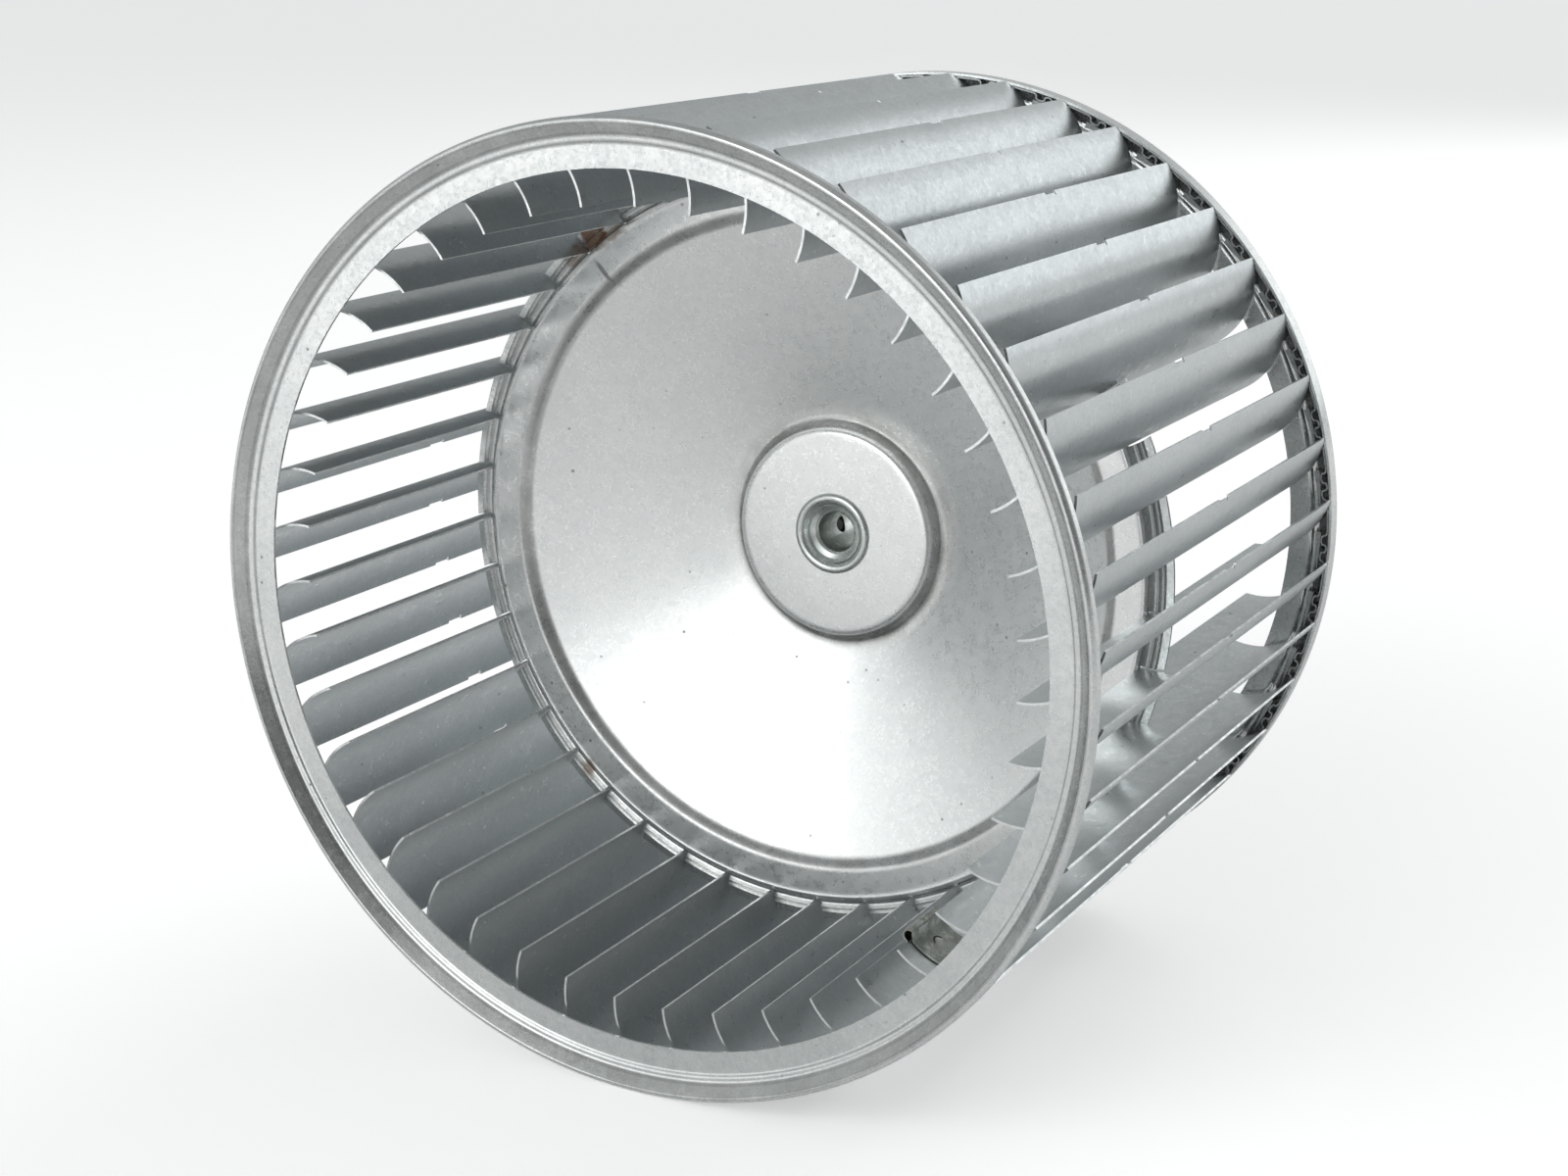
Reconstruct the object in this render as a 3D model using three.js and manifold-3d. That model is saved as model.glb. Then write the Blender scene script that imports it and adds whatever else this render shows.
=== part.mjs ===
// Blower motor wheel: a double-inlet wheel with forward-curved blades.
//
// Frame: millimetres, +Z up. The origin is the centre of the wheel's box and +Y is
// its axle, from the front end ring towards the rear one. Angles around the axle are
// measured from +X towards +Z.

import * as THREE from 'three';
import { mergeVertices } from 'three/addons/utils/BufferGeometryUtils.js';
import Module from 'manifold-3d';

const wasm = await Module();
wasm.setup();

// Whole wheel
const WHEEL_RADIUS = 139.7;          // 11 in across
const WHEEL_HALF_WIDTH = 102.7;      // about 8 1/8 in wide
const FIT_GAP = 0.3;                 // gap between pieces that touch
const RING_STEPS = 64;               // facets round a turned or rolled ring
const HUB_STEPS = 32;

// Blades
const BLADE_COUNT = 43;
const BLADE_PITCH = (2 * Math.PI) / BLADE_COUNT;
const FIRST_BLADE_ANGLE = THREE.MathUtils.degToRad(5.584);
const BLADE_INNER_RADIUS = 115.2;
const BLADE_ARC_RADIUS = 23.4;
const BLADE_SWEEP = THREE.MathUtils.degToRad(77.2);
const BLADE_STEPS = 6;
const BLADE_HALF_WIDTH = 94.9;
const BLADE_THICKNESS = 0.7;
const BLADE_NOTCH_FRONT = -2.8;      // notch in the outer edge, at the disc
const BLADE_NOTCH_REAR = 4.2;
const BLADE_NOTCH_DEPTH = 0.7;

// End rings: a flat inner band, a ridge, a slope up to a crest on the end plane and a
// rolled lip. Points are [radius, depth back from the wheel's end plane].
const RING_SHEET = 0.8;
const RING_FACE = [
  [125.5, 4.35],
  [132.0, 4.35],
  [134.0, 3.45],
  [137.2, 0.6],
  [138.0, 0],
  [139.2, 0.4],
  [WHEEL_RADIUS, 1.5],
];
const RING_BACK = [
  [WHEEL_RADIUS - RING_SHEET, 1.7],
  [138.0, 1.0],
  [134.3, 4.25],
  [132.2, 5.15],
  [125.5, 5.15],
];
const FRONT_LIP_DEPTH = 3.7;         // where each lip ends
const REAR_LIP_DEPTH = 7.5;

// Edge webs: the strip's pleated edges, held in the rings' channels, with a neck from
// each blade's end. A pleat's points are [radius, degrees from the blade's inner edge].
const WEB_SHEET = 0.6;
const WEB_END = 99.3;
const FRONT_WEB_START = 97.7;
const REAR_WEB_START = BLADE_HALF_WIDTH + FIT_GAP;
const PLEAT = [
  [138.1, -1.0],
  [136.9, 0.1],
  [138.1, 1.1],
  [136.9, 2.1],
  [138.1, 3.2],
];
const NECK_FROM = THREE.MathUtils.degToRad(57);     // sweeps along the blade's arc
const NECK_TO = THREE.MathUtils.degToRad(67);
const NECK_END = 98.0;
const ROOT_FROM = THREE.MathUtils.degToRad(63);
const ROOT_TO = THREE.MathUtils.degToRad(70);
const ROOT_START = 97.7;

// Centre disc: boss, moat, cone, step, outer band and rim bead. Points are
// [radius, y] on its front face.
const DISC_SHEET = 1.0;
const DISC_HOLE_RADIUS = 11.2;
const BOSS_FACE = 22.3;
const DISC_FACE = [
  [DISC_HOLE_RADIUS, BOSS_FACE],
  [32.0, BOSS_FACE],
  [33.6, 23.2],
  [34.6, 27.0],
  [36.4, 28.2],
  [41.0, 26.8],
  [102.0, 2.5],
  [104.4, 0.0],
  [112.6, -0.5],
  [113.6, -0.9],
  [114.6, -0.2],
];

// Rim crimp ring: a plate in each gap between blades
const CRIMP_INNER_RADIUS = 111.0;
const CRIMP_OUTER_RADIUS = 122.0;
const CRIMP_SLOT_RADIUS = 114.8;
const CRIMP_CORNER = 0.55;           // a plate's outer corner, as a share of the pitch
const CRIMP_FRONT = 1.2;
const CRIMP_SHEET = 1.0;

// Hub
const BORE_RADIUS = 6.35;            // 1/2 in shaft
const HUB_FRONT = 21.4;
const HUB_BEAD_RADIUS = 12.9;
const CUP_RADIUS = 9.7;
const CUP_FLOOR = 24.1;
const FLANGE_RADIUS = 19.0;
const FLANGE_THICKNESS = 3.0;
const BARREL_RADIUS = 14.3;
const HUB_REAR = 60.0;
const HUB_CHAMFER = 0.6;

// Set screw, radial in the hub's barrel
const SCREW_RADIUS = 3.1;            // 1/4 in thread
const SCREW_LENGTH = 9.5;
const SCREW_TIP_RADIUS = 6.6;        // the tip's distance from the axle at rest
const SCREW_Y = 40.0;
const SCREW_ANGLE = THREE.MathUtils.degToRad(193);
const SCREW_STEPS = 24;
const SCREW_POINT = 1.2;             // chamfer at the tip
const SCREW_CHAMFER = 0.4;           // chamfer at the socket end
const SOCKET_RADIUS = 1.83;          // corners of a 1/8 in hexagon
const SOCKET_DEPTH = 3.4;

// Balance clip, pinched on the inner edge of one blade
const CLIP_BLADE = -6;               // counted from the first blade
const CLIP_FRONT = -87.9;
const CLIP_LENGTH = 18.0;
const CLIP_SHEET = 0.7;
const CLIP_OFFSET = 1.05;            // from the blade's middle to the leg's middle
const CLIP_ROLL_RADIUS = 1.35;
const CLIP_ROLL_REACH = 1.45;        // from the blade's inner edge to the roll's middle
const CLIP_LONG_LEG = THREE.MathUtils.degToRad(26);
const CLIP_SHORT_LEG = THREE.MathUtils.degToRad(12);

const galvanisedRing = new THREE.MeshStandardMaterial({
  color: 0xb9bdbe,
  roughness: 0.38,
  metalness: 0.95,
});
const galvanisedBlade = new THREE.MeshStandardMaterial({
  color: 0xa6adae,
  roughness: 0.34,
  metalness: 0.95,
});
const galvanisedDisc = new THREE.MeshStandardMaterial({
  color: 0xc6cacb,
  roughness: 0.42,
  metalness: 0.95,
});
const platedSteel = new THREE.MeshStandardMaterial({
  color: 0xb4b8b4,
  roughness: 0.28,
  metalness: 1.0,
});
const blackSteel = new THREE.MeshStandardMaterial({
  color: 0x2b2c2e,
  roughness: 0.45,
  metalness: 0.8,
});

// ---------------------------------------------------------------- helpers

function toSolid(geometry) {
  const bare = geometry.clone();
  bare.deleteAttribute('normal');
  bare.deleteAttribute('uv');
  const merged = mergeVertices(bare, 1e-4);
  const mesh = new wasm.Mesh({
    numProp: 3,
    vertProperties: new Float32Array(merged.attributes.position.array),
    triVerts: new Uint32Array(merged.index.array),
  });
  return new wasm.Manifold(mesh);
}

function toGeometry(solid) {
  const mesh = solid.getMesh();
  const geometry = new THREE.BufferGeometry();
  geometry.setAttribute('position', new THREE.BufferAttribute(mesh.vertProperties, 3));
  geometry.setIndex(new THREE.BufferAttribute(mesh.triVerts, 1));
  geometry.computeVertexNormals();
  return geometry;
}

// Turns an outline of [radius, y] points round the axle. The outline runs
// anticlockwise with the radius across and y up, and is closed here.
function turned(outline, steps) {
  const points = [...outline, outline[0]].map(([r, y]) => new THREE.Vector2(r, y));
  return new THREE.LatheGeometry(points, steps);
}

// Extrudes a shape drawn with x across and z up, from front to rear along the axle.
function extrudedAlongAxle(shape, front, rear) {
  const geometry = new THREE.ExtrudeGeometry(shape, {
    depth: rear - front,
    bevelEnabled: false,
  });
  geometry.rotateX(Math.PI / 2);
  geometry.translate(0, rear, 0);
  return geometry;
}

function mirroredFrontToRear(outline) {
  return outline.map(([r, y]) => [r, -y]).reverse();
}

function polar(radius, angle) {
  return new THREE.Vector2(radius * Math.cos(angle), radius * Math.sin(angle));
}

// A point beside the first blade's arc: swept by `sweep` from its inner edge and
// `offset` to the side of its middle surface. The inner edge lies on +X.
function besideArc(sweep, offset) {
  const radius = BLADE_ARC_RADIUS - offset;
  return new THREE.Vector2(
    BLADE_INNER_RADIUS + radius * Math.sin(sweep),
    BLADE_ARC_RADIUS - radius * Math.cos(sweep),
  );
}

// The outline of a strip that follows the blade's arc between two sweeps.
function arcStrip(from, to, halfThickness, steps) {
  const outer = [];
  const inner = [];
  for (let i = 0; i <= steps; i += 1) {
    const sweep = from + ((to - from) * i) / steps;
    outer.push(besideArc(sweep, -halfThickness));
    inner.push(besideArc(sweep, halfThickness));
  }
  return [...outer, ...inner.reverse()];
}

// Places a piece made for a blade on +X at the blade with the given number.
function atBlade(mesh, index) {
  mesh.rotation.y = -(FIRST_BLADE_ANGLE + index * BLADE_PITCH);
  return mesh;
}

// A step of the given length to the left of the way from one point to another.
function sideways(from, to, length) {
  const along = to.clone().sub(from).normalize();
  return new THREE.Vector2(-along.y, along.x).multiplyScalar(length);
}

function named(name, geometry, material) {
  const mesh = new THREE.Mesh(geometry, material);
  mesh.name = name;
  return mesh;
}

// ---------------------------------------------------------------- end rings

// The front ring's section, with a lip of the given depth.
function endRingOutline(lipDepth) {
  const lip = [
    [WHEEL_RADIUS, lipDepth],
    [WHEEL_RADIUS - RING_SHEET, lipDepth],
  ];
  const outline = [...RING_FACE, ...lip, ...RING_BACK];
  return outline.map(([r, depth]) => [r, depth - WHEEL_HALF_WIDTH]);
}

function endRings() {
  const front = endRingOutline(FRONT_LIP_DEPTH);
  const rear = mirroredFrontToRear(endRingOutline(REAR_LIP_DEPTH));
  return [
    named('front_end_ring', turned(front, RING_STEPS), galvanisedRing),
    named('rear_end_ring', turned(rear, RING_STEPS), galvanisedRing),
  ];
}

// ---------------------------------------------------------------- edge webs

// The closed ribbon of the pleated edge, as a shape with a hole.
function pleatedRibbon() {
  const line = [];
  for (let i = 0; i < BLADE_COUNT; i += 1) {
    const angle = FIRST_BLADE_ANGLE + i * BLADE_PITCH;
    for (const [radius, offset] of PLEAT) {
      line.push(polar(radius, angle + THREE.MathUtils.degToRad(offset)));
    }
  }
  const outer = [];
  const inner = [];
  line.forEach((point, i) => {
    const before = line.at(i - 1);
    const after = line[(i + 1) % line.length];
    const side = sideways(before, after, WEB_SHEET / 2);
    outer.push(point.clone().sub(side));
    inner.push(point.clone().add(side));
  });
  const ribbon = new THREE.Shape(outer);
  ribbon.holes.push(new THREE.Path(inner.reverse()));
  return ribbon;
}

// The edge web at the rear end: the ribbon, and a neck and a root at each blade.
function edgeWeb(ribbonStart) {
  let solid = toSolid(extrudedAlongAxle(pleatedRibbon(), ribbonStart, WEB_END));
  const neckOutline = arcStrip(NECK_FROM, NECK_TO, WEB_SHEET / 2, 1);
  const rootOutline = arcStrip(ROOT_FROM, ROOT_TO, WEB_SHEET / 2, 1);
  const neckStart = BLADE_HALF_WIDTH + FIT_GAP;
  const neck = extrudedAlongAxle(new THREE.Shape(neckOutline), neckStart, NECK_END);
  const root = extrudedAlongAxle(new THREE.Shape(rootOutline), ROOT_START, WEB_END);
  for (let i = 0; i < BLADE_COUNT; i += 1) {
    const angle = FIRST_BLADE_ANGLE + i * BLADE_PITCH;
    for (const geometry of [neck, root]) {
      solid = solid.add(toSolid(geometry.clone().rotateY(-angle)));
    }
  }
  return toGeometry(solid);
}

// Mirrors a geometry front to rear and turns its triangles to face out again.
function mirroredAcrossMiddle(geometry) {
  const mirrored = geometry.clone();
  mirrored.scale(1, -1, 1);
  const index = mirrored.index.array;
  for (let i = 0; i < index.length; i += 3) {
    [index[i + 1], index[i + 2]] = [index[i + 2], index[i + 1]];
  }
  mirrored.computeVertexNormals();
  return mirrored;
}

function edgeWebs() {
  const front = mirroredAcrossMiddle(edgeWeb(FRONT_WEB_START));
  return [
    named('front_edge_web', front, galvanisedBlade),
    named('rear_edge_web', edgeWeb(REAR_WEB_START), galvanisedBlade),
  ];
}

// ---------------------------------------------------------------- blades

// A cutter at the blade's outer edge. Its x runs along the sheet, towards the edge.
function atOuterEdge(geometry) {
  const edge = besideArc(BLADE_SWEEP, 0);
  geometry.rotateY(-BLADE_SWEEP);
  geometry.translate(edge.x, 0, edge.y);
  return toSolid(geometry);
}

function bladeGeometry() {
  const outline = arcStrip(0, BLADE_SWEEP, BLADE_THICKNESS / 2, BLADE_STEPS);
  const shape = new THREE.Shape(outline);
  const sheet = toSolid(extrudedAlongAxle(shape, -BLADE_HALF_WIDTH, BLADE_HALF_WIDTH));
  const notchWidth = BLADE_NOTCH_REAR - BLADE_NOTCH_FRONT;
  const notch = new THREE.BoxGeometry(2 * BLADE_NOTCH_DEPTH, notchWidth, 4);
  notch.translate(0, (BLADE_NOTCH_FRONT + BLADE_NOTCH_REAR) / 2, 0);
  return toGeometry(sheet.subtract(atOuterEdge(notch)));
}

function blades() {
  const geometry = bladeGeometry();
  const made = [];
  for (let i = 0; i < BLADE_COUNT; i += 1) {
    const number = String(i + 1).padStart(2, '0');
    made.push(atBlade(named(`blade_${number}`, geometry, galvanisedBlade), i));
  }
  return made;
}

// ---------------------------------------------------------------- centre disc

function centreDisc() {
  const back = DISC_FACE.map(([r, y]) => [r, y + DISC_SHEET]).reverse();
  return named('centre_disc', turned([...DISC_FACE, ...back], RING_STEPS), galvanisedDisc);
}

// ---------------------------------------------------------------- rim crimp ring

// The slot round one blade, drawn from its outer end on one side to the other side.
function slotOutline() {
  const half = BLADE_THICKNESS / 2 + FIT_GAP;
  const reach = (radius) => Math.asin((radius - BLADE_INNER_RADIUS) / BLADE_ARC_RADIUS);
  const inner = reach(CRIMP_SLOT_RADIUS);
  const outer = reach(CRIMP_OUTER_RADIUS + FIT_GAP);
  const middle = (inner + outer) / 2;
  return [
    besideArc(outer, -half),
    besideArc(middle, -half),
    besideArc(inner, -half),
    besideArc(inner, half),
    besideArc(middle, half),
    besideArc(outer, half),
  ];
}

function rimCrimpRing() {
  const centre = new THREE.Vector2();
  const points = [];
  const innerEdge = [];
  for (let i = 0; i < BLADE_COUNT; i += 1) {
    const angle = FIRST_BLADE_ANGLE + i * BLADE_PITCH;
    for (const point of slotOutline()) {
      points.push(point.rotateAround(centre, angle));
    }
    points.push(polar(CRIMP_OUTER_RADIUS, angle + CRIMP_CORNER * BLADE_PITCH));
  }
  for (let i = 0; i < BLADE_COUNT; i += 1) {
    innerEdge.push(polar(CRIMP_INNER_RADIUS, -i * BLADE_PITCH));
  }
  const shape = new THREE.Shape(points);
  shape.holes.push(new THREE.Path(innerEdge));
  const geometry = extrudedAlongAxle(shape, CRIMP_FRONT, CRIMP_FRONT + CRIMP_SHEET);
  return named('rim_crimp_ring', geometry, galvanisedDisc);
}

// ---------------------------------------------------------------- hub and set screw

// Turns geometry made along +Y so that +Y points outwards along the set screw.
function alongScrew(geometry) {
  geometry.rotateZ(-Math.PI / 2);
  geometry.rotateY(-SCREW_ANGLE);
  geometry.translate(0, SCREW_Y, 0);
  return geometry;
}

function hub() {
  const beadBack = BOSS_FACE - FIT_GAP;
  const flangeFront = BOSS_FACE + DISC_SHEET + FIT_GAP;
  const neck = DISC_HOLE_RADIUS - FIT_GAP;
  const outline = [
    [CUP_RADIUS, HUB_FRONT + 0.5],
    [CUP_RADIUS + 0.7, HUB_FRONT],
    [HUB_BEAD_RADIUS - 0.9, HUB_FRONT],
    [HUB_BEAD_RADIUS, HUB_FRONT + 0.4],
    [HUB_BEAD_RADIUS, beadBack],
    [neck, beadBack],
    [neck, flangeFront],
    [FLANGE_RADIUS, flangeFront],
    [FLANGE_RADIUS, flangeFront + FLANGE_THICKNESS],
    [BARREL_RADIUS, flangeFront + FLANGE_THICKNESS],
    [BARREL_RADIUS, HUB_REAR - HUB_CHAMFER],
    [BARREL_RADIUS - HUB_CHAMFER, HUB_REAR],
    [BORE_RADIUS + HUB_CHAMFER, HUB_REAR],
    [BORE_RADIUS, HUB_REAR - HUB_CHAMFER],
    [BORE_RADIUS, CUP_FLOOR],
  ];
  const holeRadius = SCREW_RADIUS + FIT_GAP;
  const hole = new THREE.CylinderGeometry(holeRadius, holeRadius, BARREL_RADIUS, SCREW_STEPS);
  hole.translate(0, BORE_RADIUS / 2 + BARREL_RADIUS / 2, 0);
  const solid = toSolid(turned(outline, HUB_STEPS)).subtract(toSolid(alongScrew(hole)));
  return named('hub', toGeometry(solid), platedSteel);
}

function setScrew() {
  const tip = SCREW_TIP_RADIUS;
  const end = SCREW_TIP_RADIUS + SCREW_LENGTH;
  const body = turned(
    [
      [SCREW_RADIUS - SCREW_POINT, tip],
      [SCREW_RADIUS, tip + SCREW_POINT],
      [SCREW_RADIUS, end - SCREW_CHAMFER],
      [SCREW_RADIUS - SCREW_CHAMFER, end],
      [0, end],
      [0, tip],
    ],
    SCREW_STEPS,
  );
  const socket = new THREE.CylinderGeometry(SOCKET_RADIUS, SOCKET_RADIUS, 2 * SOCKET_DEPTH, 6);
  socket.translate(0, end, 0);
  const solid = toSolid(alongScrew(body)).subtract(toSolid(alongScrew(socket)));
  return named('set_screw', toGeometry(solid), blackSteel);
}

// ---------------------------------------------------------------- balance clip

// The clip's middle line, from its short leg, round a roll, to its long leg.
function clipLine() {
  const line = [];
  for (const part of [1, 0.5, 0]) {
    line.push(besideArc(CLIP_SHORT_LEG * part, -CLIP_OFFSET));
  }
  const rollX = BLADE_INNER_RADIUS - CLIP_ROLL_REACH;
  const rollZ = CLIP_ROLL_RADIUS - CLIP_OFFSET;
  for (const turn of [-90, -126, -162, -198, -234, -270]) {
    const arm = polar(CLIP_ROLL_RADIUS, THREE.MathUtils.degToRad(turn));
    line.push(new THREE.Vector2(rollX + arm.x, rollZ + arm.y));
  }
  for (const part of [0.1, 0.4, 0.7, 1]) {
    line.push(besideArc(CLIP_LONG_LEG * part, CLIP_OFFSET));
  }
  return line;
}

// The outline of a sheet that follows a middle line.
function sheetOutline(line, thickness) {
  const left = [];
  const right = [];
  line.forEach((point, i) => {
    const before = line[Math.max(i - 1, 0)];
    const after = line[Math.min(i + 1, line.length - 1)];
    const side = sideways(before, after, thickness / 2);
    left.push(point.clone().add(side));
    right.push(point.clone().sub(side));
  });
  return [...right, ...left.reverse()];
}

function balanceClip() {
  const shape = new THREE.Shape(sheetOutline(clipLine(), CLIP_SHEET));
  const geometry = extrudedAlongAxle(shape, CLIP_FRONT, CLIP_FRONT + CLIP_LENGTH);
  return atBlade(named('balance_clip', geometry, platedSteel), CLIP_BLADE);
}

// ---------------------------------------------------------------- assembly

const wheel = new THREE.Group();
wheel.add(...endRings());
wheel.add(...edgeWebs());
wheel.add(...blades());
wheel.add(centreDisc());
wheel.add(rimCrimpRing());
wheel.add(hub());
wheel.add(setScrew());
wheel.add(balanceClip());

export default wheel;
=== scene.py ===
# %% [markdown]
# # A blower wheel in galvanised steel
# The object is the fan wheel of a warm-air furnace. Forty-three curved blades stand in a
# drum between two rolled rings, and a dished disc in the middle carries a hub that
# clamps on the motor's shaft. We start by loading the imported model, because every
# piece below is placed from it and has to stay inside its box.

# %% Load the frame
import math
import random

import bmesh
import bpy
from mathutils import Matrix, Vector


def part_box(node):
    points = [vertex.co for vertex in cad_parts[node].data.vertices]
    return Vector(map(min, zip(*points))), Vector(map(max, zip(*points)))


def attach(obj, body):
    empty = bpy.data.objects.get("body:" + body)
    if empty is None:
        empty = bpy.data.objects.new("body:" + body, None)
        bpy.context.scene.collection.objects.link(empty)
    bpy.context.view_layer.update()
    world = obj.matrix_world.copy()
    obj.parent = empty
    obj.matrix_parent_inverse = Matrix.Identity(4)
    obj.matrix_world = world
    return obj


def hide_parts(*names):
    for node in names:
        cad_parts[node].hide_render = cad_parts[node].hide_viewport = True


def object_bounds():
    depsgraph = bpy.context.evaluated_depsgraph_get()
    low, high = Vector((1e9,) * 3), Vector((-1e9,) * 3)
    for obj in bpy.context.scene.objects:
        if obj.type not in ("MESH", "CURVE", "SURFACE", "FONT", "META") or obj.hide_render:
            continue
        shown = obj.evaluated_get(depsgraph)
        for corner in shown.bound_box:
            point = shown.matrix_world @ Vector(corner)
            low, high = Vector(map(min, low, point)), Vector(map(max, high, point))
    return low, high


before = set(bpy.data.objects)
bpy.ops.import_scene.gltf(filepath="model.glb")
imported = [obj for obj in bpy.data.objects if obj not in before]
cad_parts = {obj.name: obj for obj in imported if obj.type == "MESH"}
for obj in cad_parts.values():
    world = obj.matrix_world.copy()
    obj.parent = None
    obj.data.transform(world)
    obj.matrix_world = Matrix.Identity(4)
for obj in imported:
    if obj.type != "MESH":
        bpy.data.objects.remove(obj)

cad_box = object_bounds()
MM = 0.001
wheel_radius = cad_box[1][0] / MM
wheel_half_width = cad_box[1][1] / MM
print("wheel radius", round(wheel_radius, 1), "mm, half width", round(wheel_half_width, 1), "mm")

# %% [markdown]
# ## From points to a mesh
# Nearly every part here is thin sheet or a turned part, so one tool does most of the
# work: a skin over rows of points. The rows may close on themselves, which turns a flat
# patch into a tube or a ring. We work in millimetres and scale down once, when the
# mesh is stored. Three short calls then tell the frame where each piece belongs.

# %% A skin over rows of points
SHARP_ANGLE = math.radians(38)


def skin(bm, rows, ring=False, loop=False):
    """Adds faces between rows of points. `ring` closes the rows, `loop` each row."""
    grid = [[bm.verts.new(point) for point in row] for row in rows]
    faces = []
    for i in range(len(grid) - (0 if ring else 1)):
        this_row, next_row = grid[i], grid[(i + 1) % len(grid)]
        for j in range(len(this_row) - (0 if loop else 1)):
            k = (j + 1) % len(this_row)
            faces.append(bm.faces.new((this_row[j], this_row[k], next_row[k], next_row[j])))
    return grid, faces


def cap(bm, row):
    """Closes the end of a sheet. The row runs out along one face and back on the other."""
    last = len(row) - 1
    return [bm.faces.new((row[j], row[j + 1], row[last - j - 1], row[last - j]))
            for j in range(len(row) // 2 - 1)]


def stored(name, bm, materials):
    """Turns a bmesh in millimetres into a smooth-shaded object in metres."""
    bmesh.ops.recalc_face_normals(bm, faces=bm.faces)
    bmesh.ops.scale(bm, vec=(MM, MM, MM), verts=bm.verts)
    mesh = bpy.data.meshes.new(name)
    bm.to_mesh(mesh)
    bm.free()
    mesh.shade_smooth()
    mesh.set_sharp_from_angle(angle=SHARP_ANGLE)
    for material in materials:
        mesh.materials.append(material)
    piece = bpy.data.objects.new(name, mesh)
    bpy.context.collection.objects.link(piece)
    return piece


def fitted(piece, body, slot, *nodes):
    """Makes a piece ride a body and stand for CAD nodes, which it hides; `slot` is not used."""
    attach(piece, body)
    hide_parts(*nodes)
    print(piece.name, len(piece.data.polygons), "faces, for", len(nodes), "node(s)")


print("edges sharper than", round(math.degrees(SHARP_ANGLE)), "degrees stay crisp")

# %% [markdown]
# ## Sections of bent sheet
# A press never makes a perfectly sharp corner in sheet steel. So each section starts as
# a few corner points, the corners are rounded, and a second line is drawn one sheet
# thickness behind. The two lines together are the cut you would see with a saw.

# %% Rounded lines, sheet sections and turning
CORNER_STEPS = 5
LONGEST_REACH = 0.45               # of a segment, so that two corners never meet


def rounded(corners, reach):
    """Rounds the inner corners of an open line, starting `reach` before each one."""
    points = [Vector(corner) for corner in corners]
    line = [points[0]]
    for before, corner, after in zip(points, points[1:], points[2:]):
        back, ahead = before - corner, after - corner
        start = corner + back.normalized() * min(reach, LONGEST_REACH * back.length)
        end = corner + ahead.normalized() * min(reach, LONGEST_REACH * ahead.length)
        for i in range(CORNER_STEPS + 1):
            t = i / CORNER_STEPS
            line.append(start * (1 - t) ** 2 + corner * 2 * t * (1 - t) + end * t ** 2)
    line.append(points[-1])
    return line


def beside(line, distance):
    """The line moved to its left by a distance."""
    moved = []
    for i, point in enumerate(line):
        along = (line[min(i + 1, len(line) - 1)] - line[max(i - 1, 0)]).normalized()
        moved.append(point + Vector((-along.y, along.x)) * distance)
    return moved


def sheet_section(line, thickness):
    """A closed section: the line, and the same line one thickness to its left."""
    return line + beside(line, thickness)[::-1]


def polar(radius, angle, y):
    """A point from its distance to the axle, its angle and its place along the axle."""
    return Vector((radius * math.cos(angle), y, radius * math.sin(angle)))


def turned(bm, section, steps):
    """Turns a closed section of (radius, y) points round the axle."""
    angles = [2 * math.pi * i / steps for i in range(steps)]
    rows = [[polar(r, angle, y) for angle in angles] for r, y in section]
    return skin(bm, rows, ring=True, loop=True)


print("a corner becomes", CORNER_STEPS + 1, "points")

# %% [markdown]
# ## Node helpers
# The finishes are built from shader nodes. These few helpers keep the recipes short:
# one feeds a socket with either a link or a plain value, and the others make the kinds
# of node that we need most. Textures take the surface's own place in metres, so the
# pattern has its true size on every piece.

# %% Small helpers for shader nodes
def feed(tree, socket, value):
    if isinstance(value, bpy.types.NodeSocket):
        tree.links.new(value, socket)
    else:
        socket.default_value = value


def maths(tree, kind, operation, values):
    node = tree.nodes.new(kind)
    node.operation = operation
    for socket, value in zip(node.inputs, values):
        feed(tree, socket, value)
    return node.outputs


def calc(tree, operation, *values):
    return maths(tree, "ShaderNodeMath", operation, values)[0]


def vector_calc(tree, operation, *values):
    result = "Value" if operation in ("LENGTH", "DOT_PRODUCT") else "Vector"
    return maths(tree, "ShaderNodeVectorMath", operation, values)[result]


def weighted(tree, *pairs):
    """The sum of values, each times its weight."""
    total = None
    for value, weight in pairs:
        part = calc(tree, "MULTIPLY", value, weight)
        total = part if total is None else calc(tree, "ADD", total, part)
    return total


def mix_colour(tree, factor, first, second):
    node = tree.nodes.new("ShaderNodeMix")
    node.data_type = "RGBA"
    feed(tree, node.inputs["Factor"], factor)
    feed(tree, node.inputs[6], first)
    feed(tree, node.inputs[7], second)
    return node.outputs[2]


def ramped(tree, value, low, high, out_low=0.0, out_high=1.0):
    """Maps low..high smoothly to out_low..out_high."""
    node = tree.nodes.new("ShaderNodeMapRange")
    node.interpolation_type = "SMOOTHSTEP"
    for name, item in (("Value", value), ("From Min", low), ("From Max", high),
                       ("To Min", out_low), ("To Max", out_high)):
        feed(tree, node.inputs[name], item)
    return node.outputs["Result"]


def place_in_object(tree, scale=(1, 1, 1)):
    """The surface's own place in metres, stretched along each axis."""
    place = tree.nodes.new("ShaderNodeTexCoord").outputs["Object"]
    return vector_calc(tree, "MULTIPLY", place, scale)


def noise(tree, place, scale, detail=3.0, roughness=0.55):
    node = tree.nodes.new("ShaderNodeTexNoise")
    feed(tree, node.inputs["Vector"], place)
    feed(tree, node.inputs["Scale"], scale)
    feed(tree, node.inputs["Detail"], detail)
    feed(tree, node.inputs["Roughness"], roughness)
    return node.outputs["Fac"]


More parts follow.
